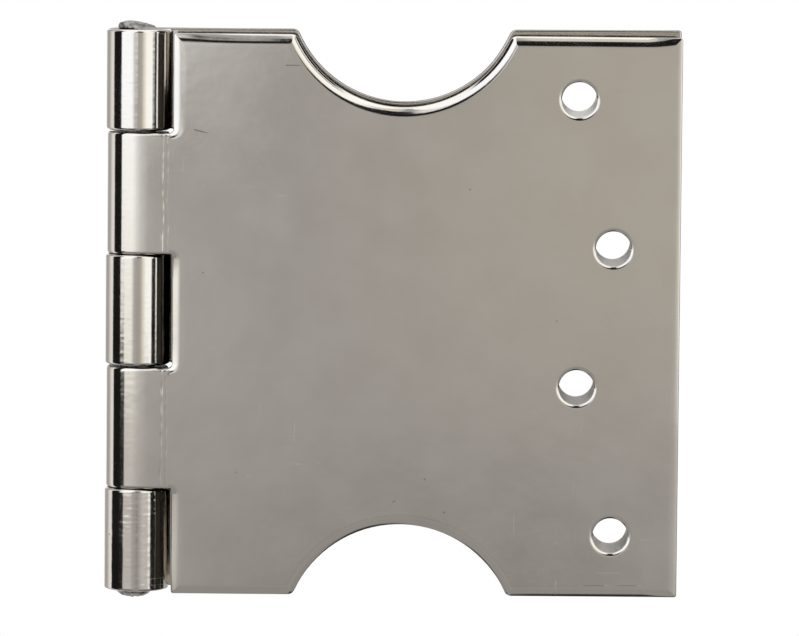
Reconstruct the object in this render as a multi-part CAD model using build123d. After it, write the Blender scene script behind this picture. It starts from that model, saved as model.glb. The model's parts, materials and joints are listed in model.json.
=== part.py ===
from build123d import *
import math
import os

# Parliament hinge, 4 inch, pressed from bright plated sheet steel, shown closed.
# Millimetres. While modelling, Z is the pin's axis and Z = 0 is the middle of its height.
# Both leaves run from the pin towards +X. The door leaf's outer face looks along -Y and the
# frame leaf's along +Y. At the end everything moves so that the origin is on the frame
# leaf's outer face, at mid height and midway between its two columns of screw holes.

# Leaf blanks
leaf_height = 101.6
leaf_reach = 98.2            # pin axis to free edge
sheet = 2.64
drawn_width = 1.1            # outer face's edges slope off where the punch drew them over
drawn_depth = 0.45

# Round cut-out in the top and bottom edge of each leaf
cut_radius = 21.0
cut_depth = 13.0
cut_from_pin = 48.0
cut_corner = 1.3

# Screw holes, staggered in two columns, countersunk from the inner face
edge_to_column = 12.1        # free edge to the outer column
column_step = 6.4            # outer column to the inner one
high_row = 39.5              # from the leaf's mid height
low_row = 12.6
hole_diameter = 6.4
sink_diameter = 10.2
sink_angle = 90
rim_bevel = 0.35

# Pin, with both ends peened over
pin_diameter = 6.35
head_spread = 0.35           # how far a peened head reaches past the pin's side
head_height = 1.7
running_gap = 0.05           # between pin and knuckle, all round
top_blows = [(0, 14, 0.3), (150, 24, 0.2), (250, 18, 0.2)]     # direction, tilt, depth
bottom_blows = [(20, 12, 0.25), (140, 20, 0.2), (260, 20, 0.2)]

# Knuckles: three on the frame leaf, two on the door leaf
outer_joint = 32.4           # heights above and below the middle where knuckles meet
inner_joint = 10.2
end_gap = 0.3
seam_gap = 0.35              # between a rolled end and its own leaf
notch_gap = 0.65             # between a leaf's notch and the other leaf's knuckles
notch_corner = 0.9
crease_from_pin = 4.9        # line that the rolling tool leaves across each knuckle's root
crease_depth = 0.05
crease_radius = 1.3

# The door leaf hangs a little low in its end gaps, and its blank was sheared a little low too
knuckle_drop = 0.12
blank_drop = 0.45

# Worked out from the sizes above
pin_radius = pin_diameter / 2
bore_radius = pin_radius + running_gap
barrel_radius = bore_radius + sheet
notch_edge = barrel_radius + notch_gap
half_height = leaf_height / 2
cut_centre_height = half_height - cut_depth + cut_radius
sink_depth = (sink_diameter - hole_diameter) / 2 / math.tan(math.radians(sink_angle / 2))
outer_column = leaf_reach - edge_to_column
inner_column = outer_column - column_step
hole_places = [
    (inner_column, high_row),
    (outer_column, low_row),
    (inner_column, -low_row),
    (outer_column, -high_row),
]
frame_spans = [
    (outer_joint + end_gap / 2, half_height),
    (-inner_joint + end_gap / 2, inner_joint - end_gap / 2),
    (-half_height, -outer_joint - end_gap / 2),
]
door_spans = [
    (inner_joint + end_gap / 2 - knuckle_drop, outer_joint - end_gap / 2 - knuckle_drop),
    (-outer_joint + end_gap / 2 - knuckle_drop, -inner_joint - end_gap / 2 - knuckle_drop),
]
door_drop = knuckle_drop + blank_drop
origin = Pos(-(inner_column + outer_column) / 2, -barrel_radius, 0)
same_place = 1e-4            # two lengths closer than this are the same


def near(value, target):
    return abs(value - target) < same_place


def corners_at(shape, places):
    """Vertices of a flat outline that lie at any of these (across, up) places."""
    return [
        v for v in shape.vertices()
        if any(near(v.X, x) and near(v.Y, y) for x, y in places)
    ]


def blank_outline(spans, drop):
    """Outline of a leaf's flat part, with a tongue for each of its own knuckles."""
    width = leaf_reach - notch_edge
    outline = Pos(notch_edge + width / 2, -drop) * Rectangle(width, leaf_height)
    for side in (1, -1):
        outline -= Pos(cut_from_pin, side * cut_centre_height - drop) * Circle(cut_radius)
    half_chord = math.sqrt(cut_radius**2 - (cut_centre_height - half_height) ** 2)
    for low, high in spans:
        outline += Pos(notch_edge / 2, (low + high) / 2) * Rectangle(notch_edge, high - low)
    top = half_height - drop
    bottom = -half_height - drop
    cut_ends = [(cut_from_pin + s * half_chord, y) for s in (1, -1) for y in (top, bottom)]
    outline = fillet(corners_at(outline, cut_ends), cut_corner)
    roots = [(notch_edge, y) for span in spans for y in span if bottom < y < top]
    return fillet(corners_at(outline, roots), notch_corner)


def curl_section():
    """Section of a rolled knuckle, from its tangent with the leaf round to its free end."""
    seam_angle = math.degrees(math.asin((bore_radius - seam_gap) / barrel_radius))
    wrap = 270 + seam_angle
    outer = CenterArc((0, 0), barrel_radius, -seam_angle, wrap)
    inner = CenterArc((0, 0), bore_radius, -seam_angle, wrap)
    free_end = Line(inner @ 0, outer @ 0)
    root = Line(inner @ 1, outer @ 1)
    return make_face(outer + root + inner + free_end)


def draw_edges(leaf):
    """Slopes off the edge all round the outer face, which runs on round the knuckles' ends."""
    face = leaf.faces().filter_by(Axis.Y).sort_by(Axis.Y)[0]
    border = [e for e in face.edges() if not (near((e @ 0).X, 0) and near((e @ 1).X, 0))]
    return chamfer(border, drawn_width, drawn_depth, reference=face)


def screw_hole(x, z):
    """Cutter for one hole: a bore with a countersink from the inner face."""
    bore = Plane.XZ.offset(bore_radius) * Cylinder(
        hole_diameter / 2, sheet, align=(Align.CENTER, Align.CENTER, Align.MIN)
    )
    sink = Plane.XZ.offset(bore_radius) * Cone(
        sink_diameter / 2, hole_diameter / 2, sink_depth,
        align=(Align.CENTER, Align.CENTER, Align.MIN),
    )
    return Pos(x, 0, z) * (bore + sink)


def bevel_rims(leaf):
    """Bevels the outer rim of every screw hole."""
    rims = [
        e for e in leaf.edges()
        if e.geom_type == GeomType.CIRCLE
        and near(e.radius, hole_diameter / 2)
        and near((e @ 0).Y, -barrel_radius)
    ]
    return chamfer(rims, rim_bevel)


def crease(low, high):
    """Cutter for the shallow line across a knuckle's root."""
    rod = Cylinder(crease_radius, high - low)
    depth = barrel_radius + crease_radius - crease_depth
    return Pos(crease_from_pin, -depth, (low + high) / 2) * rod


def leaf(spans, drop):
    """One leaf as it lies towards -Y: flat blank, rolled knuckles, drawn edges and holes."""
    flat = extrude(Plane.XZ.offset(bore_radius) * blank_outline(spans, drop), sheet)
    section = curl_section()
    for low, high in spans:
        flat += Pos(0, 0, low) * extrude(section, high - low)
    drawn = draw_edges(flat)
    for x, z in hole_places:
        drawn -= screw_hole(x, z - drop)
    drawn = bevel_rims(drawn)
    for low, high in spans:
        drawn -= crease(low, high)
    return drawn


def peened_head(blows):
    """Domed head on the plane Z = 0, with a hammer flat for each blow."""
    head_radius = pin_radius + head_spread
    ball_radius = (head_radius**2 + head_height**2) / (2 * head_height)
    ball = Pos(0, 0, head_height - ball_radius) * Sphere(ball_radius)
    block = 2 * ball_radius
    above = Align.CENTER, Align.CENTER, Align.MIN
    head = ball & Box(block, block, block, align=above)
    for direction, tilt, depth in blows:
        turn = Rot(0, 0, direction) * Rot(0, tilt, 0)
        head -= turn * Pos(0, 0, head_height - depth) * Box(block, block, block, align=above)
    return head


def hinge_pin():
    """Straight pin, as long as the barrel, with a peened head at each end."""
    pin = Cylinder(pin_radius, leaf_height)
    pin += Pos(0, 0, half_height) * peened_head(top_blows)
    pin += Pos(0, 0, -half_height) * Rot(180, 0, 0) * peened_head(bottom_blows)
    return pin


os.makedirs("parts", exist_ok=True)
parts = {
    "frame_leaf": mirror(leaf(frame_spans, 0), about=Plane.XZ),
    "door_leaf": leaf(door_spans, door_drop),
    "hinge_pin": hinge_pin(),
}
for name, solid in parts.items():
    export_step(origin * solid, f"parts/{name}.step")
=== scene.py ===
import json
import math

import bpy
import numpy as np
from mathutils import Matrix, Vector, noise
from mathutils.geometry import tessellate_polygon


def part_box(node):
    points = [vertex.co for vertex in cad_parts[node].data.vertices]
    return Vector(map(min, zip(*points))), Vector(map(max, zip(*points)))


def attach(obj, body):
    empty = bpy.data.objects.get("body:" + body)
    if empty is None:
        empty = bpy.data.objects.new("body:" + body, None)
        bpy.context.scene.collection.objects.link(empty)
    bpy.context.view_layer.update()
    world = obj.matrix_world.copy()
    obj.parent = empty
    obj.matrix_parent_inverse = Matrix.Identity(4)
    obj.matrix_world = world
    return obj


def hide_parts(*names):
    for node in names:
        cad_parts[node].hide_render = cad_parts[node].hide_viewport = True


# A parliament hinge in bright nickel plate: two leaves rolled round a peened pin. The leaves and
# the pin are built here as fine meshes on the frame's own sizes, in millimetres until they are
# placed. A leaf is drawn as a flat blank, in which "along" runs from the pin's axis to the free
# edge, "up" is the frame's Z and "depth" goes in from the outer face, and then it is rolled up.

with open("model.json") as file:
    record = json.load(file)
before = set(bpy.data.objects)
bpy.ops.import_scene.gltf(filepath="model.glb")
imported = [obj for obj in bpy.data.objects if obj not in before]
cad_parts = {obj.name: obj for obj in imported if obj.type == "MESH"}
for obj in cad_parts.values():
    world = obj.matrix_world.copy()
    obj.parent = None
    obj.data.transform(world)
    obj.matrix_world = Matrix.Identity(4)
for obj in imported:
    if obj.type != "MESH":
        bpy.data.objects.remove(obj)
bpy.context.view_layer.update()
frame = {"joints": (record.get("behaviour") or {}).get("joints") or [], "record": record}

# Sizes that the frame gives
MM = 0.001
mounts = {m["name"]: m for m in frame["record"]["mounts"]}
pin_x, pin_y = (c / MM for c in frame["joints"][0]["pos_m"][:2])
frame_leaf_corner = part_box("frame_leaf")[1] / MM
half_height = frame_leaf_corner.z
leaf_reach = frame_leaf_corner.x - pin_x
barrel_radius = -pin_y
door_drop = -mounts["door_leaf_face"]["pos_m"][2] / MM
hole_radius = mounts["frame_inner_screws"]["dims"]["hole_r_mm"]
head_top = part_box("hinge_pin")[1].z / MM
head_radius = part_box("hinge_pin")[1].x / MM - pin_x

# Sizes of the blank
sheet = 2.64
leaf_corner = 0.45           # radius of a leaf's outer corners
cut_radius = 21.0
cut_depth = 13.0
cut_from_pin = 48.0
cut_corner = 1.3
notch_gap = 0.65             # between a notch and the other leaf's knuckles
notch_corner = 0.9
sink_radius = 5.1            # of a countersink, at the inner face
seam_gap = 0.35              # between a rolled end and its own leaf

# Knuckles
outer_joint = 32.4           # heights above and below the middle where knuckles meet
inner_joint = 10.2
end_gap = 0.3
knuckle_drop = 0.12          # how low the door leaf's knuckles sit in their end gaps
lead_in = 1.2                # the bend starts and ends gently over this length each way

# Drawn-over outer edges, as (how far in they reach, how far down)
top_roll = (2.2, 0.8)
notch_roll = (2.5, 0.29)
bottom_roll = (2.0, 0.3)
free_edge_roll = (2.0, 0.07)
knuckle_roll = (0.6, 0.4)
low_end_roll = (0.5, 0.38)   # under the frame leaf's lowest knuckle
hole_roll = (0.8, 0.14)
corner_roll = (2.2, 0.29)    # what a top roll starts from near the pin
corner_from, corner_to = 7.0, 18.0      # distances from the pin between which it grows
low_fade = 6.0               # the door leaf's notch roll fades over this length to the bottom
least_fade = 0.15
roll_power = 3
roll_growth = 1.0            # how fast one width may change into another along an edge
depth_growth = 0.6           # and one depth into another
mitre_share = 0.95           # how far in a corner's rows keep their way, as a share of its radius
lip_round = 0.16             # where a roll meets the sheared wall
burr_round = 0.25            # where the wall meets the inner face
rim_round = 0.1              # at a screw hole's outer rim
flat_margin = 0.1            # flat strip beside a roll
wall_step = 0.05             # from the lip to the full sheared wall
flare_step = 0.1             # from a hole's bore to its countersink
sink_levels = ((0.3, 0.3), (0.12, 0.12), (0.03, 0.04))    # (in from its rim, up from the face)
sink_margins = (0.08, 0.3)   # flat rings round a countersink

# Both blanks were sheared a little out of square: how much higher an edge is at its free end
frame_top_rise = 0.36
door_bottom_rise = 0.2
square_to = (45, 48)         # heights between which the slope of the edges comes in
square_from_pin = 18
frame_low_end = 0.35         # the frame leaf's lowest knuckle reaches this far below its plate
low_end_from, low_end_to = 12.0, 3.0    # distances from the pin between which that comes in

# Tool marks on the knuckles: two wavy creases across the root, and ripples round the barrel
crease_lines = ((4.6, 1.0), (5.45, 0.6))    # distance from the pin, and share of the depth
crease_half_width = 0.26
crease_depth = 0.026
crease_wander = 0.2
wander_length = 3.0          # a crease sways over this length
patch_length = 1.4           # and grows stronger and fainter over this one
crease_strength = 0.8        # its mean strength
crease_change = 1.2          # and how much that varies
crease_seed = 7
ripple_size = (2.0, 0.5)     # round the barrel, and along it
fine_ripple = (2.3, 0.4)     # a second wave, this much finer and of this strength
ripple_end = 1.0             # the ripples fade out towards this distance from the pin
ripple_fade = 4.0
frame_ripples = (0.005, 0.004, 0.013)   # heights, from the top knuckle down
door_ripples = (0.003, 0.0035)
door_press = 0.24            # the door leaf's knuckles were pressed thinner than its plate
press_from, press_to = 3.0, -1.2        # distances from the pin between which that comes in

# Mesh fineness
arc_step = 4                 # degrees
corner_step = 15             # degrees
curl_step = 3                # degrees
straight_step = 2.0
root_step = 0.4
crease_columns = 23
last_column_gap = 0.05
corner_room = 2.6            # straight edges have no points nearer than this to a corner
knuckle_rows = 76
hole_points = 72
roll_levels = 13
round_levels = 5
bend_samples = 6000
bend_margin = 1.0            # how far the bend is worked out past a tongue's end
sharp_angle = 40             # degrees between faces, over which an edge is shaded sharp
same_place = 1e-6

# Worked out
bore_radius = barrel_radius - sheet
notch_edge = barrel_radius + notch_gap
cut_centre_height = half_height - cut_depth + cut_radius
seam_angle = math.degrees(math.asin((bore_radius - seam_gap) / barrel_radius))
curl_angle = 270 + seam_angle
sink_depth = sink_radius - hole_radius
frame_spans = [
    (outer_joint + end_gap / 2, half_height),
    (-inner_joint + end_gap / 2, inner_joint - end_gap / 2),
    (-half_height, -outer_joint - end_gap / 2),
]
door_spans = [
    (inner_joint + end_gap / 2 - knuckle_drop, outer_joint - end_gap / 2 - knuckle_drop),
    (-outer_joint + end_gap / 2 - knuckle_drop, -inner_joint - end_gap / 2 - knuckle_drop),
]


def hole_places(leaf_name):
    """Centres of a leaf's screw holes on its blank, from its two bolt patterns."""
    places = []
    for column in ("inner", "outer"):
        mount = mounts[f"{leaf_name}_{column}_screws"]
        along, _, up = (c / MM for c in mount["pos_m"])
        half = mount["dims"]["spacing_y_mm"] / 2
        places += [(along - pin_x, up + half), (along - pin_x, up - half)]
    return places


# Outline of a blank, with the metal on the left of the way that its rows run. A row's numbers are
# its place (0, 1), the way in (2, 3), its roll's width and depth (4, 5), and how far in it goes
# that way (6) before it follows the corner's mitre (7, 8).
def edge_rows(places, inward, roll, limit=math.inf, mitre=(0, 0)):
    rows = np.zeros((len(places), 9))
    rows[:, :2], rows[:, 2:4], rows[:, 4:6] = places, inward, roll
    rows[:, 6], rows[:, 7:9] = limit, mitre
    return rows


def straight(start, end, roll):
    """Straight edge from one place to another."""
    start, end = np.array(start, float), np.array(end, float)
    length = np.linalg.norm(end - start)
    away = np.linspace(0, length, max(1, math.ceil(length / straight_step)) + 1)
    inner = (away > corner_room) & (away < length - corner_room)
    away = np.concatenate([[0], away[inner], [length]])
    way = (end - start) / length
    return edge_rows(start + away[:, None] * way, (-way[1], way[0]), roll)


def bend(centre, radius, first, last, roll):
    """Arc from one angle to another, in degrees. One that turns left is a convex corner."""
    step = arc_step if radius > corner_room else corner_step
    count = math.ceil(abs(last - first) / step) + 1
    angle = np.radians(np.linspace(first, last, count))
    out = np.stack([np.cos(angle), np.sin(angle)], axis=1)
    places = np.array(centre) + radius * out
    if last < first:
        return edge_rows(places, out, roll)
    middle, half = math.radians((first + last) / 2), math.radians((last - first) / 2)
    mitre = -np.array([math.cos(middle), math.sin(middle)]) / math.cos(half)
    return edge_rows(places, -out, roll, mitre_share * radius, mitre)


def tongue_columns():
    """Places along a tongue, from its rolled end to just short of the notch's corner."""
    curl = -np.radians(np.linspace(curl_angle, 0, math.ceil(curl_angle / curl_step) + 1))
    reach = crease_half_width + crease_wander
    crease = np.linspace(crease_lines[0][0] - reach, crease_lines[1][0] + reach, crease_columns)
    root = np.arange(root_step, crease[0] - root_step / 2, root_step)
    last = max(notch_edge - notch_corner, crease[-1]) + last_column_gap
    return np.concatenate([curl * barrel_radius, root, crease, [last]])


columns = tongue_columns()


def tongue_side(up, inward, roll=knuckle_roll):
    """Upper or lower side of a tongue: out from its rolled end, or back to it."""
    along = columns if inward > 0 else columns[::-1]
    return edge_rows(np.stack([along, np.full_like(along, up)], axis=1), (0, inward), roll)


def cut_out(sign, drop):
    """Round cut-out with its two corners, at the top (sign 1) or the bottom (-1) of a blank."""
    roll = top_roll if sign > 0 else bottom_roll
    turn = 90 * (sign + 1)
    reach = cut_radius + cut_corner
    rise = cut_centre_height - half_height + cut_corner
    across = math.sqrt(reach**2 - rise**2)
    lean = -math.degrees(math.atan2(rise, across))
    level = sign * (half_height - cut_corner) - drop
    centre = (cut_from_pin, sign * cut_centre_height - drop)
    return [
        bend((cut_from_pin + sign * across, level), cut_corner, turn - 90, turn + lean, roll),
        bend(centre, cut_radius, turn + 180 + lean, turn - lean, roll),
        bend((cut_from_pin - sign * across, level), cut_corner, turn - 180 - lean, turn - 90, roll),
    ]


def eased(values, steps, growth):
    """The values, lowered where they change faster than growth from one row to the next."""
    values = values.copy()
    for order in (range(1, len(values)), range(len(values) - 2, -1, -1)):
        for i in order:
            before = i - 1 if order.step > 0 else i + 1
            values[i] = min(values[i], values[before] + growth * steps[min(i, before)])
    return values


def joined(stretches):
    """One run of rows, without the points that neighbours share, and with its roll eased."""
    run = [stretches[0]]
    for stretch in stretches[1:]:
        if np.linalg.norm(stretch[0, :2] - run[-1][-1, :2]) > same_place:
            run.append(stretch)
        elif math.isinf(stretch[0, 6]):
            run.append(stretch[1:])
        else:
            run[-1] = run[-1][:-1]
            run.append(stretch)
    rows = np.vstack(run)
    steps = np.linalg.norm(np.diff(rows[:, :2], axis=0), axis=1)
    rows[:, 4] = eased(rows[:, 4], steps, roll_growth)
    rows[:, 5] = eased(rows[:, 5], steps, depth_growth)
    return rows


def deepening(rows):
    """The rows of a top edge, with a roll that is shallower near the pin."""
    share = np.clip((rows[:, :1] - corner_from) / (corner_to - corner_from), 0, 1)
    rows[:, 4:6] = np.array(corner_roll) * (1 - share) + np.array(top_roll) * share
    return rows


def fading(rows, bottom):
    """The rows of a notch's lower end, with a roll that is shallower towards the bottom."""
    rows[:, 5] *= np.clip((rows[:, 1] - bottom) / low_fade, least_fade, 1)
    return rows


def notch(low, high):
    """From the lower side of one tongue to the upper side of the next."""
    root = notch_edge - notch_corner
    return joined([
        tongue_side(low, 1),
        bend((root, low - notch_corner), notch_corner, 90, 0, notch_roll),
        straight((notch_edge, low - notch_corner), (notch_edge, high + notch_corner), notch_roll),
        bend((root, high + notch_corner), notch_corner, 0, -90, notch_roll),
        tongue_side(high, -1),
    ])


def notch_foot(low, bottom):
    """From the lowest tongue's lower side down the plate's edge and round its lower corner."""
    root = notch_edge - notch_corner
    start, end = (notch_edge, low - notch_corner), (notch_edge, bottom + leaf_corner)
    corner = (notch_edge + leaf_corner, bottom + leaf_corner)
    return [
        tongue_side(low, 1),
        bend((root, low - notch_corner), notch_corner, 90, 0, notch_roll),
        fading(straight(start, end, notch_roll), bottom),
        bend(corner, leaf_corner, 180, 270, bottom_roll),
    ]


def notch_head(high, top):
    """Round the plate's upper corner and down its edge to the highest tongue's upper side."""
    root = notch_edge - notch_corner
    corner = (notch_edge + leaf_corner, top - leaf_corner)
    return [
        bend(corner, leaf_corner, 90, 180, corner_roll),
        straight((notch_edge, top - leaf_corner), (notch_edge, high + notch_corner), notch_roll),
        bend((root, high + notch_corner), notch_corner, 0, -90, notch_roll),
        tongue_side(high, -1),
    ]


def free_edge(bottom, top):
    """The free edge with both its corners, from the bottom up."""
    right, low, high = leaf_reach - leaf_corner, bottom + leaf_corner, top - leaf_corner
    return [
        bend((right, low), leaf_corner, -90, 0, free_edge_roll),
        straight((leaf_reach, low), (leaf_reach, high), free_edge_roll),
        bend((right, high), leaf_corner, 0, 90, free_edge_roll),
    ]


def outer_run(spans, drop):
    """From the lowest tongue's lower side round the plate to the highest one's upper side."""
    low, high = spans[-1][0], spans[0][1]
    bottom, top = -half_height - drop, half_height - drop
    left, right = columns[-1], leaf_reach - leaf_corner
    start, end = [tongue_side(low, 1, low_end_roll)], [tongue_side(high, -1)]
    if low > bottom:
        left = notch_edge + leaf_corner
        start, end = notch_foot(low, bottom), notch_head(high, top)
    bottom_cut, top_cut = cut_out(-1, drop), cut_out(1, drop)
    return joined([
        *start,
        straight((left, bottom), bottom_cut[0][0, :2], bottom_roll),
        *bottom_cut,
        straight(bottom_cut[-1][-1, :2], (right, bottom), bottom_roll),
        *free_edge(bottom, top),
        straight((right, top), top_cut[0][0, :2], top_roll),
        *top_cut,
        deepening(straight(top_cut[-1][-1, :2], (left, top), top_roll)),
        *end,
    ])


def edge_levels(width, depth):
    """Levels down a drawn edge, each as (how far in, depth, share of sheared metal)."""
    tilt = np.arctan(roll_power * depth / width)
    lip = lip_round * (1 - np.sin(tilt))
    levels = [(width + flat_margin, 0 * depth, 0)]
    for share in np.linspace(1, 0, roll_levels):
        levels.append((share * width + (1 - share) * lip, depth * (1 - share) ** roll_power, 0))
    wall = depth + lip_round * np.cos(tilt)
    for share in np.linspace(0, 1, round_levels)[1:]:
        lean = tilt + share * (math.pi / 2 - tilt)
        levels.append((lip_round * (1 - np.sin(lean)), wall - lip_round * np.cos(lean), share**2))
    levels.append((0 * width, wall + wall_step, 1))
    for lean in np.linspace(0, math.pi / 2, round_levels):
        inset, height = burr_round * (1 - math.cos(lean)), burr_round * (1 - math.sin(lean))
        levels.append((inset, sheet - height, 1 - lean / (math.pi / 2)))
    return levels + [(burr_round + flat_margin, sheet, 0)]


def hole_levels(width, depth):
    """The same for a screw hole, whose share is -1 in its countersink on the inner face."""
    levels = [(width + flat_margin, 0, 0)]
    for share in np.linspace(1, 0, roll_levels):
        inset = share * width + (1 - share) * rim_round
        levels.append((inset, depth * (1 - share) ** roll_power, 0))
    for lean in np.linspace(math.pi / 6, math.pi / 2, round_levels)[1:]:
        inset, fall = rim_round * (1 - math.sin(lean)), rim_round * (1 - math.cos(lean))
        levels.append((inset, depth + fall, 0))
    flare = sheet - sink_depth
    levels += [(0, flare - flare_step, 0), (0, flare, -1)]
    levels += [(sink_depth - margin, sheet - height, -1) for margin, height in sink_levels]
    return levels + [(sink_depth + margin, sheet, 0) for margin in sink_margins]


class Blank:
    """A flat blank's points and faces, gathered before it is rolled."""

    def __init__(self):
        self.points = []
        self.sheared = []
        self.faces = []

    def add(self, points, sheared=0):
        """Takes an array of points and returns their numbers in the same arrangement."""
        first = sum(len(p) for p in self.points)
        self.points.append(points.reshape(-1, 3))
        self.sheared.append(np.broadcast_to(sheared, points.shape[:-1]).ravel())
        return np.arange(first, first + len(self.points[-1])).reshape(points.shape[:-1])

    def grid(self, numbers, flip=False):
        """Quads between neighbouring rows and columns of an array of point numbers."""
        a, b = numbers[:-1, :-1].ravel(), numbers[1:, :-1].ravel()
        c, d = numbers[1:, 1:].ravel(), numbers[:-1, 1:].ravel()
        quads = np.stack([a, b, c, d] if not flip else [d, c, b, a], axis=1)
        self.faces += quads.tolist()

    def edge(self, rows, levels, closed=False):
        """Strip of metal along an outline, level by level. Returns its point numbers."""
        strip = np.zeros((len(levels), len(rows), 3))
        for k, (inset, depth, _) in enumerate(levels):
            before = np.minimum(inset, rows[:, 6])
            after = inset - before
            moved = before[:, None] * rows[:, 2:4] + after[:, None] * rows[:, 7:9]
            strip[k, :, :2] = rows[:, :2] + moved
            strip[k, :, 2] = depth
        numbers = self.add(strip, np.array([level[2] for level in levels])[:, None])
        self.grid(np.hstack([numbers, numbers[:, :1]]) if closed else numbers)
        return numbers

    def between(self, lower, upper, rows):
        """Surface of a tongue between two lines of point numbers. Returns its point numbers."""
        points = np.vstack(self.points)
        share = np.linspace(0, 1, rows + 1)[1:-1, None, None]
        inner = self.add(points[lower] * (1 - share) + points[upper] * share)
        return np.vstack([lower[None], inner, upper[None]])

    def fill(self, loops, flip=False):
        """Triangles over a flat face, whose first loop is its border and the rest its holes."""
        points = np.vstack(self.points)
        flat = [[Vector((*points[n][:2], 0)) for n in loop] for loop in loops]
        numbers = np.concatenate(loops)
        for corner in tessellate_polygon(flat):
            a, b, c = (points[numbers[i]][:2] for i in corner)
            turns_left = (b[0] - a[0]) * (c[1] - a[1]) - (b[1] - a[1]) * (c[0] - a[0]) > 0
            face = [int(numbers[i]) for i in corner]
            self.faces.append(face if turns_left != flip else face[::-1])


def hole_rows(place):
    """Rim of a screw hole."""
    angle = -np.linspace(0, 2 * math.pi, hole_points, endpoint=False)
    out = np.stack([np.cos(angle), np.sin(angle)], axis=1)
    return edge_rows(np.array(place) + hole_radius * out, out, hole_roll)


def tongue_faces(blank, lower, upper):
    """Outer and inner face (0 and -1) and rolled end of the tongue between two strips."""
    count = len(columns)
    faces = {}
    for face in (0, -1):
        sides = lower[face, :count], upper[face, ::-1][:count]
        faces[face] = blank.between(*sides, knuckle_rows)
        blank.grid(faces[face].T, flip=face == -1)
    blank.faces.append(
        faces[0][:, 0].tolist() + upper[1:-1, -1].tolist()
        + faces[-1][::-1, 0].tolist() + lower[-2:0:-1, 0].tolist()
    )
    return faces


def plate_faces(blank, strips, tongues, holes):
    """Outer and inner face of the plate, inside the strips and the tongues' roots."""
    count = len(columns)
    for face in (0, -1):
        border = []
        for t, strip in enumerate(strips):
            border.append(strip[face, count - 1:len(strip[face]) - count + 1])
            root = tongues[(t + 1) % len(tongues)][face][:, -1]
            border.append(root[::-1][1:-1])
        blank.fill([np.concatenate(border)] + [hole[face] for hole in holes], flip=face == -1)


def leaf_blank(spans, drop, places):
    """Blank of one leaf."""
    blank = Blank()
    runs = [notch(spans[i][0], spans[i + 1][1]) for i in range(len(spans) - 1)]
    runs.append(outer_run(spans, drop))
    strips = [blank.edge(rows, edge_levels(rows[:, 4], rows[:, 5])) for rows in runs]
    holes = [blank.edge(hole_rows(place), hole_levels(*hole_roll), closed=True) for place in places]
    tongues = [tongue_faces(blank, strips[t], strips[t - 1]) for t in range(len(spans))]
    plate_faces(blank, strips, tongues, holes)
    return blank


def ripples_at(along, up, seed):
    """Wave of the ripples at a place on a tongue."""
    place = Vector((along / ripple_size[0], up / ripple_size[1], seed))
    finer, strength = fine_ripple
    wave = noise.noise(place) + strength * noise.noise(finer * place)
    return wave * min(1, max(0, (ripple_end - along) / ripple_fade))


def creases_at(along, up, seed):
    """How deep the creases are pressed in at a place on a tongue."""
    depth = 0
    for from_pin, share in crease_lines:
        wander = crease_wander * noise.noise(Vector((up / wander_length, seed, from_pin)))
        across = (along - from_pin - wander) / crease_half_width
        patch = Vector((up / patch_length, seed, crease_seed * from_pin))
        strength = max(0, crease_strength + crease_change * noise.noise(patch))
        depth += crease_depth * share * strength * max(0, 1 - across**2) ** 2
    return depth


def tooled(points, spans, ripples, press):
    """Presses the rolling tool's marks into the outer face of the tongues."""
    pressed = points.copy()
    for (low, high), ripple in zip(spans, ripples):
        on_tongue = (points[:, 0] < columns[-1]) & (points[:, 1] > low) & (points[:, 1] < high)
        for i in np.nonzero(on_tongue & (points[:, 2] < sheet / 2))[0]:
            along, up, depth = points[i]
            root = min(1, max(0, (press_from - along) / (press_from - press_to)))
            fall = press * root * root * (3 - 2 * root)
            fall += ripple * ripples_at(along, up, low) + creases_at(along, up, low)
            pressed[i, 2] += fall * (1 - min(1, depth / knuckle_roll[1]))
    return pressed


def out_of_square(points, top_rise, bottom_rise, low_end):
    """Slopes a blank's top and bottom edge a little, and draws its lowest knuckle down."""
    along, up = points[:, 0], points[:, 1]
    near_edge = np.clip((np.abs(up) - square_to[0]) / (square_to[1] - square_to[0]), 0, 1)
    outwards = np.clip((along - square_from_pin) / (leaf_reach - square_from_pin), 0, 1)
    inwards = np.clip((low_end_from - along) / (low_end_from - low_end_to), 0, 1)
    moved = points.copy()
    moved[:, 1] += np.where(up > 0, top_rise, bottom_rise) * outwards * near_edge
    moved[:, 1] -= np.where(up < 0, low_end, 0) * inwards * near_edge
    return moved


def bend_line():
    """Outer face's line along a tongue, as (along, out, in, heading)."""
    end = -curl_angle / 180 * math.pi * barrel_radius
    along = np.linspace(end - bend_margin, lead_in, bend_samples)
    easing = (lead_in - along) ** 2 / (4 * lead_in * barrel_radius)
    heading = np.where(along < -lead_in, -along / barrel_radius, easing)
    step = along[1] - along[0]
    middle = (heading[1:] + heading[:-1]) / 2
    out = np.concatenate([[0], np.cumsum(np.cos(middle) * step)])
    inward = np.concatenate([[0], np.cumsum(np.sin(middle) * step)])
    return along, out - out[-1] + lead_in, inward - inward[-1], heading


def rolled(points, side):
    """Blank to leaf, in the frame. Side 1 has its outer face towards -Y, and side -1 mirrors it."""
    along, up, depth = points.T
    line, out, inward, heading = bend_line()
    x = np.where(along > lead_in, along, np.interp(along, line, out))
    y = np.where(along > lead_in, 0, -np.interp(along, line, inward))
    lean = np.where(along > lead_in, 0, np.interp(along, line, heading))
    x = x + depth * np.sin(lean)
    y = y + depth * np.cos(lean) - barrel_radius
    return np.stack([pin_x + x, pin_y + side * y, up], axis=1) * MM


def mesh_piece(name, points, faces):
    """Smooth mesh object from points in metres."""
    mesh = bpy.data.meshes.new(name)
    mesh.from_pydata(points.tolist(), [], faces)
    mesh.validate()
    mesh.shade_smooth()
    mesh.set_sharp_from_angle(angle=math.radians(sharp_angle))
    piece = bpy.data.objects.new(name, mesh)
    bpy.context.scene.collection.objects.link(piece)
    return piece


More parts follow.
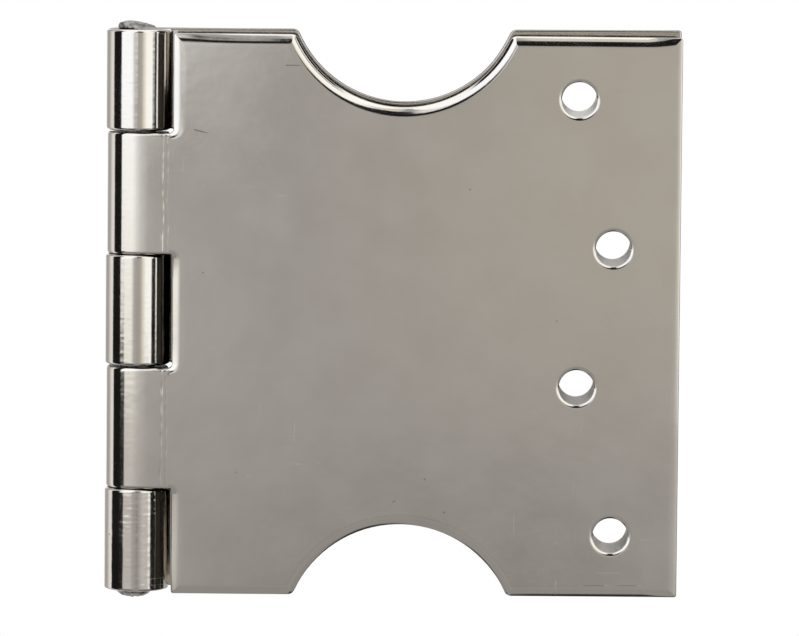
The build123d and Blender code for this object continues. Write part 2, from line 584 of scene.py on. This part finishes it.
def attribute(piece, name, kind, values):
    """Numbers at a piece's points, for its material."""
    place = piece.data.attributes.new(name, kind, "POINT")
    field = "value" if kind == "FLOAT" else "vector"
    place.data.foreach_set(field, np.asarray(values, np.float32).ravel())


def leaf_piece(name, node, body, spans, drop, side, ripples, press, rises):
    """One leaf, with its place on a body."""
    blank = leaf_blank(spans, drop, hole_places(node.split("_")[0]))
    points, faces = np.vstack(blank.points), blank.faces
    if side < 0:
        faces = [face[::-1] for face in faces]
    shaped = out_of_square(tooled(points, spans, ripples, press), *rises)
    piece = mesh_piece(name, rolled(shaped, side), faces)
    attribute(piece, "blank", "FLOAT_VECTOR", points)
    attribute(piece, "sheared", "FLOAT", np.concatenate(blank.sheared))
    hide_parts(node)
    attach(piece, body)
    return piece


# Pin: hammered heads and the straight pin between them
pin_radius = 3.175
head_rings = 28
pin_points = 96
lump_size = 0.9
lump_height = 0.16
lump_from = 0.3              # lumps and lean come in over this height
head_swell = 0.25            # how much higher than the solid's a head was before its blows
head_lean = -0.45            # the blows pushed the metal this far from the axis
blow_share = 0.9             # how far a blow flattens the metal over its plane
# Blows as (direction, tilt, depth), how square the shoulder is, and the seed of the lumps
top_head = [(0, 13, 0.56), (180, 11, 0.12), (280, 22, 0.3), (85, 24, 0.25), (320, 30, 0.35)], 6, 3.1
bottom_head = [(20, 12, 0.25), (140, 20, 0.2), (260, 20, 0.2)], 2.4, 8.7


def ring(radius, z):
    """Points round the pin's axis."""
    angle = np.linspace(0, 2 * math.pi, pin_points, endpoint=False)
    across, away = radius * np.cos(angle), radius * np.sin(angle)
    return np.stack([across, away, np.full_like(angle, z)], axis=1)


def head(blows, squareness, seed):
    """Rings of a peened head from its rim up to its top, standing on height 0."""
    height = head_top - half_height + head_swell
    shares = [math.cos(turn) for turn in np.linspace(0, math.pi / 2, head_rings)]
    rings = np.array([ring(head_radius * s, height * (1 - s**squareness)) for s in shares])
    for direction, tilt, depth in blows:
        d, t = math.radians(direction), math.radians(tilt)
        normal = np.array([math.sin(t) * math.cos(d), math.sin(t) * math.sin(d), math.cos(t)])
        over = np.maximum(rings @ normal - (height - depth), 0)
        rings -= over[..., None] * normal * blow_share
    for point in rings.reshape(-1, 3):
        fade = min(1.0, max(point[2], 0) / lump_from)
        lump = noise.noise(Vector(point) / lump_size + Vector((seed, 0, 0)))
        point *= 1 + fade * lump_height * lump / max(1.0, np.linalg.norm(point))
        point[0] += head_lean * fade
    rings[..., 2] = np.maximum(rings[..., 2], 0)
    return rings


def pin_rings():
    """Rings of the whole pin from the top down, each end's last ring drawn to one place."""
    top = head(*top_head) + [0, 0, half_height]
    bottom = head(*bottom_head) * [1, 1, -1] - [0, 0, half_height + frame_low_end]
    shaft = [ring(pin_radius, half_height), ring(pin_radius, -half_height)]
    rings = np.concatenate([top[::-1], shaft, bottom])
    for end in (0, -1):
        rings[end] = rings[end].mean(axis=0)
    return rings


def pin_faces(numbers):
    """Quads between the rings, and a fan of triangles at each end."""
    blank = Blank()
    blank.grid(np.hstack([numbers, numbers[:, :1]])[1:-1])
    for end, beside, flip in ((0, 1, True), (-1, -2, False)):
        for a, b in zip(numbers[beside], np.roll(numbers[beside], -1)):
            pair = [int(b), int(a)] if flip else [int(a), int(b)]
            blank.faces.append([int(numbers[end, 0]), *pair])
    return blank.faces


def pin_object():
    rings = pin_rings()
    numbers = np.arange(len(rings) * pin_points).reshape(-1, pin_points)
    points = (rings.reshape(-1, 3) + [pin_x, pin_y, 0]) * MM
    piece = mesh_piece("peened_pin", points, pin_faces(numbers))
    attribute(piece, "blank", "FLOAT_VECTOR", points / MM)
    attribute(piece, "sheared", "FLOAT", np.abs(points[:, 2]) / MM >= half_height)
    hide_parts("hinge_pin")
    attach(piece, "frame_side")
    return piece


frame_leaf = leaf_piece(
    "frame_leaf_plate", "frame_leaf", "frame_side", frame_spans, 0, -1, frame_ripples,
    0, (frame_top_rise, 0, frame_low_end),
)
door_leaf = leaf_piece(
    "door_leaf_plate", "door_leaf", "door_side", door_spans, door_drop, 1, door_ripples,
    door_press, (0, door_bottom_rise, 0),
)
pin = pin_object()


# Materials
class Nodes:
    """Short calls that build one node tree."""

    def __init__(self, tree):
        self.tree = tree
        tree.nodes.clear()

    def set(self, node, key, value):
        """Links a socket to a node's input, or gives the input a constant."""
        if isinstance(value, bpy.types.NodeSocket):
            self.tree.links.new(value, node.inputs[key])
        else:
            node.inputs[key].default_value = value

    def add(self, kind, inputs=(), **settings):
        """New node with its settings, and with sockets or constants for its inputs."""
        node = self.tree.nodes.new(kind)
        for name, value in settings.items():
            setattr(node, name, value)
        for key, value in dict(inputs).items():
            self.set(node, key, value)
        return node

    def attribute(self, name, output):
        return self.add("ShaderNodeAttribute", attribute_name=name).outputs[output]

    def maths(self, operation, *values):
        return self.add("ShaderNodeMath", dict(enumerate(values)), operation=operation).outputs[0]

    def times(self, value, factor):
        return self.maths("MULTIPLY", value, factor)

    def total(self, value, *others):
        for other in others:
            value = self.maths("ADD", value, other)
        return value

    def greatest(self, value, *others):
        for other in others:
            value = self.maths("MAXIMUM", value, other)
        return value

    def ramp(self, value, low, high, at_low=0.0, at_high=1.0):
        """Smooth change of one value into another between a low and a high input."""
        node = self.add("ShaderNodeMapRange", {
            "Value": value, "From Min": low, "From Max": high, "To Min": at_low, "To Max": at_high,
        }, interpolation_type="SMOOTHSTEP")
        return node.outputs["Result"]

    def mix(self, share, low, high):
        """Colour between two colours, each a socket or three numbers."""
        node = self.add("ShaderNodeMix", {0: share}, data_type="RGBA")
        for key, value in ((6, low), (7, high)):
            self.set(node, key, (*value, 1) if isinstance(value, tuple) else value)
        return node.outputs[2]

    def noise(self, place, scale, detail=2, stretch=(1, 1, 1), turn=0):
        """Noise in 0 to 1 over a place in millimetres, finer along the stretched ways."""
        moved = self.add("ShaderNodeMapping", {
            "Vector": place, "Scale": stretch, "Rotation": (0, 0, turn),
        })
        inputs = {"Vector": moved.outputs[0], "Scale": scale, "Detail": detail}
        return self.add("ShaderNodeTexNoise", inputs).outputs["Fac"]

    def specks(self, place, scale, size):
        """1 in small spots, one in some of the cells of that scale."""
        cells = self.add("ShaderNodeTexVoronoi", {"Vector": place, "Scale": scale}).outputs
        draw = self.add("ShaderNodeSeparateColor", {0: cells["Color"]}).outputs[0]
        chosen = self.maths("GREATER_THAN", draw, empty_cells)
        return self.times(self.ramp(cells["Distance"], size, size * 0.5), chosen)

    def marks(self, place, marks):
        """1 on marks, each (along, up, half length, half width, turn in degrees)."""
        ragged = self.times(self.maths("SUBTRACT", self.noise(place, 2.2, 3), 0.5), 1.6)
        total = 0.0
        for along, up, half_length, half_width, turn in marks:
            local = self.add("ShaderNodeMapping", {
                "Vector": place, "Location": (along, up, 0), "Rotation": (0, 0, math.radians(turn)),
                "Scale": (half_length, half_width, mark_reach),
            }, vector_type="TEXTURE").outputs[0]
            away = self.add("ShaderNodeVectorMath", {0: local}, operation="LENGTH").outputs["Value"]
            total = self.greatest(total, self.ramp(self.total(away, ragged), 1.1, 0.7))
        return total

    def metal(self, colour, rough, height):
        """Metal surface, with its height in millimetres."""
        bump = self.add("ShaderNodeBump", {"Height": height, "Distance": MM, "Strength": 1.0})
        shader = self.add("ShaderNodeBsdfPrincipled", {
            "Base Color": colour, "Metallic": 1.0, "Roughness": rough, "Normal": bump.outputs[0],
        })
        self.add("ShaderNodeOutputMaterial", {"Surface": shader.outputs[0]})

    def seen(self):
        """1 to the camera and in reflections, and 0 for the light that falls on things."""
        path = self.add("ShaderNodeLightPath").outputs
        rays = ("Is Camera Ray", "Is Glossy Ray", "Is Transmission Ray")
        return self.greatest(*(path[ray] for ray in rays))


def new_material(name):
    material = bpy.data.materials.new(name)
    material.use_nodes = True
    return material, Nodes(material.node_tree)


# Scratches and worn spots that the photograph shows, on each leaf's blank
door_marks = [
    (11.2, 32.7, 1.5, 0.13, -14), (27.9, 44.7, 1.7, 0.11, 0), (52.4, -30.1, 0.16, 0.13, 0),
    (60.1, 22.6, 0.14, 0.12, 0), (76.0, -1.1, 0.15, 0.13, 0), (46.8, -34.2, 0.5, 0.08, 30),
]
frame_marks = [(-6.1, 45.6, 3.6, 0.42, 88), (-6.5, 40.0, 1.2, 0.25, 92), (2.0, 31.8, 0.5, 0.12, 0)]
mark_reach = 0.5             # how deep into the sheet a mark reaches
empty_cells = 0.72           # share of the cells that have no speck
# Finer scratches all over, as (scale, stretch, turn, and the noise between which they come in)
scratch_ways = (
    (0.6, (0.16, 3.6, 1), 0.45, 0.745, 0.78),
    (0.55, (3.8, 0.2, 1), 0.2, 0.755, 0.79),
)

# Colours
nickel_tones = (0.69, 0.645, 0.59), (0.725, 0.682, 0.63)
worn_tone = (0.16, 0.145, 0.13)
# Turned countersinks: painted light, near white so that their shaded cones read pale
countersink_painted_light_tone = (0.95, 0.93, 0.9)
# Sheared walls: rough metal, painted near black as shade in the gaps and along the edges
sheared_painted_shade_tone = (0.05, 0.046, 0.042)
peened_tones = (0.16, 0.15, 0.14), (0.42, 0.40, 0.37)
shaft_tone = (0.6, 0.56, 0.51)
pit_tone = (0.05, 0.046, 0.042)


def plate_colour(n, haze, worn, turned, sheared):
    """Hazy nickel, with the most that each other metal covers of it: worn spots, countersinks
    painted near white as light, and sheared walls painted near black as shade.
    """
    colour = n.mix(n.ramp(haze, 0.3, 0.7), *nickel_tones)
    colour = n.mix(n.times(worn, 0.75), colour, worn_tone)
    # Painted light: the countersinks are made near white
    colour = n.mix(n.times(turned, 0.8), colour, countersink_painted_light_tone)
    # Painted shade: the sheared walls are made near black
    return n.mix(n.times(sheared, 0.93), colour, sheared_painted_shade_tone)


def plate_roughness(n, place, haze, scratches, worn, turned, sheared):
    """Polish with haze, and what scratches, grain and bare metal add to it."""
    return n.total(
        n.ramp(haze, 0.3, 0.75, 0.07, 0.12),
        n.times(scratches, 0.16),
        n.ramp(n.noise(place, 1.7, 3), 0.45, 0.8, 0.0, 0.05),
        n.times(n.greatest(sheared, worn), 0.25),
        n.times(turned, 0.42),
    )


def plate_height(n, place, scratches, sheared):
    """Slow waves, scratches and grain, which is coarse where the sheet was sheared."""
    waves = n.times(n.noise(place, 0.22, 2), 0.012)
    grain = n.times(n.noise(place, 4, 3), n.ramp(sheared, 0, 1, 0.0006, 0.03))
    return n.total(waves, n.times(scratches, -0.0008), grain)


def bright_nickel(name, marks):
    """Bright plate with worn spots, turned countersinks given a near-white painted light, and rough
    sheared edges painted near black as shade.
    """
    material, n = new_material(name)
    place = n.attribute("blank", "Vector")
    cut = n.attribute("sheared", "Fac")
    # Sheared walls, whose colour is painted near black as shade
    sheared = n.greatest(cut, 0.0)
    # Countersinks, whose colour is painted near white as light
    turned = n.greatest(n.times(cut, -1.0), 0.0)
    haze = n.noise(place, 0.09, 4)
    scratches = n.greatest(*(
        n.ramp(n.noise(place, scale, 1, stretch, turn), low, high)
        for scale, stretch, turn, low, high in scratch_ways
    ))
    worn = n.greatest(n.specks(place, 0.16, 0.035), n.marks(place, marks))
    n.metal(
        plate_colour(n, haze, worn, turned, sheared),
        plate_roughness(n, place, haze, scratches, worn, turned, sheared),
        plate_height(n, place, scratches, sheared),
    )
    return material


def peened_nickel():
    """Duller plate, darker and pitted where the ends were hammered."""
    material, n = new_material("peened_nickel")
    place = n.attribute("blank", "Vector")
    hammered = n.attribute("sheared", "Fac")
    blotch = n.noise(place, 1.1, 4)
    pits = n.noise(place, 3.4, 3)
    colour = n.mix(n.ramp(blotch, 0.35, 0.65), *peened_tones)
    colour = n.mix(hammered, shaft_tone, colour)
    colour = n.mix(n.times(n.ramp(pits, 0.55, 0.7), hammered), colour, pit_tone)
    rough = n.times(n.ramp(blotch, 0.3, 0.7, 0.22, 0.42), n.ramp(hammered, 0, 1, 0.5, 1.0))
    height = n.times(n.total(pits, blotch), n.ramp(hammered, 0, 1, 0.002, 0.07))
    n.metal(colour, rough, height)
    return material


frame_leaf.data.materials.append(bright_nickel("frame_leaf_nickel", frame_marks))
door_leaf.data.materials.append(bright_nickel("door_leaf_nickel", door_marks))
pin.data.materials.append(peened_nickel())


# Stage: a white world, a pale floor, and a tent of lights and flags round the hinge that shows
# only in the metal. Azimuth 0 is towards -Y and azimuth 90 towards +X, in degrees.
tent_radius = 1.0
tent_step = 1.0
floor_level = -0.25
tent_floor = -0.24
white = (1.0, 1.0, 1.0)
black = (0.012, 0.012, 0.012)
# Each is (azimuths, heights, softness across, softness up, colour), laid over those before it
tent = [
    ((118, 242), (-90, 56), 24, 8, (0.47, 0.465, 0.46)),
    ((158, 202), (-40, 56), 24, 12, (1.1, 1.1, 1.1)),
    ((-62, -12), (-12, 62), 5, 6, (1.38, 1.46, 1.58)),
    ((-62, -12), (-12, -2.5), 5, 5, (1.18, 1.2, 1.16)),
    ((13, 60), (-12, 62), 6, 6, (1.34, 1.38, 1.38)),
    ((11, 27), (-12, 20), 12, 6, (1.05, 1.02, 0.92)),
    ((-62, 60), (-90, -9), 5, 3.5, (0.88, 0.87, 0.82)),
    ((-48, 44), (-90, -6.6), 6, 0.6, (0.66, 0.65, 0.64)),
    ((-97, -62), (-90, 70), 5, 8, black),
    ((-97, -47), (-90, -5.6), 5, 1, black),
    ((52, 118), (-90, 0), 5, 8, black),
    ((60, 68), (-90, 60), 3, 8, black),
    ((68, 77), (-6, 60), 3, 3, (1.25, 1.25, 1.25)),
    ((77, 118), (-90, 60), 6, 8, black),
    ((-62, 60), (-90, -14), 5, 5, (0.04, 0.04, 0.04)),
    ((-62, 60), (-44, -14), 5, 7, (0.34, 0.34, 0.33)),
    ((-1, 17), (8, 52), 3, 3, black),
    ((-13, 17), (8, 25), 8, 4, black),
    ((-180, 180), (55, 100), 1, 8, (1.38, 1.42, 1.46)),
    ((-8, 8), (50, 84), 8, 5, (0.42, 0.43, 0.44)),
    ((8, 30), (50, 84), 6, 5, (0.85, 0.82, 0.74)),
    ((-15, 16), (-99, 8), 18, 3, (0.445, 0.44, 0.435)),
    ((-15, 16), (-99, -14), 14, 9, (0.36, 0.355, 0.35)),
    ((3, 13), (-6, 4), 7, 6, (0.54, 0.52, 0.475)),
    ((-1, 7), (-13, -8.5), 5, 4, (0.33, 0.325, 0.32)),
    ((-12, -1.5), (-0.7, 6), 4, 2, (0.95, 0.97, 1.0)),
    ((-9, -1.2), (-6.8, -2.8), 2, 1.6, (0.52, 0.515, 0.505)),
]


def stage_piece(name, points, faces, material):
    """Mesh that belongs to the stage and not to the hinge."""
    mesh = bpy.data.meshes.new(name)
    mesh.from_pydata(points, [], faces)
    mesh.materials.append(material)
    piece = bpy.data.objects.new(name, mesh)
    bpy.context.scene.collection.objects.link(piece)
    return piece


def soft_step(value):
    """Smooth step from 0 to 1, centred on 0 and 1 wide."""
    share = np.clip(value + 0.5, 0, 1)
    return share * share * (3 - 2 * share)


def tent_colours(azimuth, height):
    """Light from each direction, as colours."""
    light = np.ones((*azimuth.shape, 3))
    for (first, last), (low, high), across, up, colour in tent:
        away = np.abs((azimuth - (first + last) / 2 + 180) % 360 - 180)
        share = soft_step(((last - first) / 2 - away) / across)
        share = share * soft_step((height - low) / up) * soft_step((high - height) / up)
        light += share[..., None] * (np.array(colour) - light)
    return light


def light_tent():
    """A dome on the pin's axis, flattened just above the floor."""
    around = np.arange(-180, 180, tent_step)
    heights = np.arange(-90 + tent_step, 90, tent_step)
    azimuth, height = np.meshgrid(around, heights)
    a, h = np.radians(azimuth), np.radians(height)
    way = np.stack([np.sin(a) * np.cos(h), -np.cos(a) * np.cos(h), np.sin(h)], axis=-1)
    reach = np.minimum(tent_radius, tent_floor / np.minimum(way[..., 2], -1e-6))
    points = (way * reach[..., None]) + [pin_x * MM, pin_y * MM, 0]
    numbers = np.arange(azimuth.size).reshape(azimuth.shape)
    blank = Blank()
    blank.grid(np.hstack([numbers, numbers[:, :1]]))
    caps = [numbers[0].tolist(), numbers[-1][::-1].tolist()]
    material, n = new_material("tent_light")
    glow = n.add("ShaderNodeEmission", {"Color": n.attribute("light", "Color")}).outputs[0]
    n.add("ShaderNodeOutputMaterial", {"Surface": glow})
    piece = stage_piece("light_tent", points.reshape(-1, 3).tolist(), blank.faces + caps, material)
    colours = np.dstack([tent_colours(azimuth, height), np.ones(azimuth.shape)])
    place = piece.data.attributes.new("light", "FLOAT_COLOR", "POINT")
    place.data.foreach_set("color", colours.astype(np.float32).ravel())
    for rays in ("camera", "diffuse", "transmission", "volume_scatter", "shadow"):
        setattr(piece, "visible_" + rays, False)


# World, floor and lamp
world_light = 0.8            # the world's light on things, where 1 is white to the camera
floor_half = 6.0
floor_tone = (0.9, 0.9, 0.9)
floor_fade = (0.35, 0.8)     # distances between which the floor turns white
floor_glow = 0.6             # how white it is already nearby
lamp_place = (-0.2, -0.3, 0.9)
lamp_size = 0.8
lamp_power = 6.0


def white_world():
    """White to the camera and in the metal, and softer on the floor."""
    world = bpy.data.worlds.new("studio")
    bpy.context.scene.world = world
    world.use_nodes = True
    n = Nodes(world.node_tree)
    strength = n.ramp(n.seen(), 0, 1, world_light, 1.0)
    light = n.add("ShaderNodeBackground", {"Color": (*white, 1), "Strength": strength})
    n.add("ShaderNodeOutputWorld", {"Surface": light.outputs[0]})


def pale_floor():
    """Turns to white away from the hinge, and keeps its shadow near it."""
    material, n = new_material("pale_floor")
    place = n.add("ShaderNodeNewGeometry").outputs
    seen = n.seen()
    away = n.add("ShaderNodeVectorMath", {0: place["Position"]}, operation="LENGTH")
    share = n.times(n.ramp(away.outputs["Value"], *floor_fade, floor_glow, 1.0), seen)
    matt = n.add("ShaderNodeBsdfDiffuse", {"Color": (*floor_tone, 1)}).outputs[0]
    light = n.add("ShaderNodeEmission").outputs[0]
    shown = n.add("ShaderNodeMixShader", {0: share, 1: matt, 2: light}).outputs[0]
    clear = n.add("ShaderNodeBsdfTransparent").outputs[0]
    sided = n.add("ShaderNodeMixShader", {0: place["Backfacing"], 1: shown, 2: clear}).outputs[0]
    n.add("ShaderNodeOutputMaterial", {"Surface": sided})
    ways = [(-1, -1), (1, -1), (1, 1), (-1, 1)]
    corners = [(x * floor_half, y * floor_half, floor_level) for x, y in ways]
    stage_piece("floor", corners, [(0, 1, 2, 3)], material)


def soft_lamp():
    """Soft light from above, for the hinge's shadow on the floor."""
    lamp = bpy.data.lights.new("soft_lamp", "AREA")
    lamp.size = lamp_size
    lamp.energy = lamp_power
    holder = bpy.data.objects.new("soft_lamp", lamp)
    holder.location = lamp_place
    holder.rotation_euler = Vector(lamp_place).to_track_quat("Z", "Y").to_euler()
    holder.visible_glossy = False
    bpy.context.scene.collection.objects.link(holder)


white_world()
pale_floor()
light_tent()
soft_lamp()


# Camera, from the pin's axis at mid height, in millimetres and radians
camera_across = 58.1
camera_away = 1200.0
camera_up = 104.8
camera_yaw = -0.0088
camera_pitch = 0.0882
camera_roll = 0.0091
focal_pixels = 6635.0
photo_width = 799
sensor_width = 36.0


def make_camera():
    """Camera where the photograph was taken from."""
    data = bpy.data.cameras.new("camera")
    data.sensor_width = sensor_width
    data.lens = focal_pixels / photo_width * sensor_width
    data.clip_start = 0.01
    data.clip_end = 20
    camera = bpy.data.objects.new("camera", data)
    bpy.context.scene.collection.objects.link(camera)
    bpy.context.scene.camera = camera
    ahead = Vector((
        math.sin(camera_yaw) * math.cos(camera_pitch),
        math.cos(camera_yaw) * math.cos(camera_pitch),
        -math.sin(camera_pitch),
    ))
    level = Vector((math.cos(camera_yaw), -math.sin(camera_yaw), 0))
    upright = level.cross(ahead)
    right = math.cos(camera_roll) * level + math.sin(camera_roll) * upright
    top = right.cross(ahead)
    turn = Matrix((right, top, -ahead)).transposed().to_4x4()
    place = Vector((pin_x + camera_across, pin_y - camera_away, camera_up)) * MM
    camera.matrix_world = Matrix.Translation(place) @ turn


make_camera()
bpy.context.scene.view_settings.view_transform = "Standard"
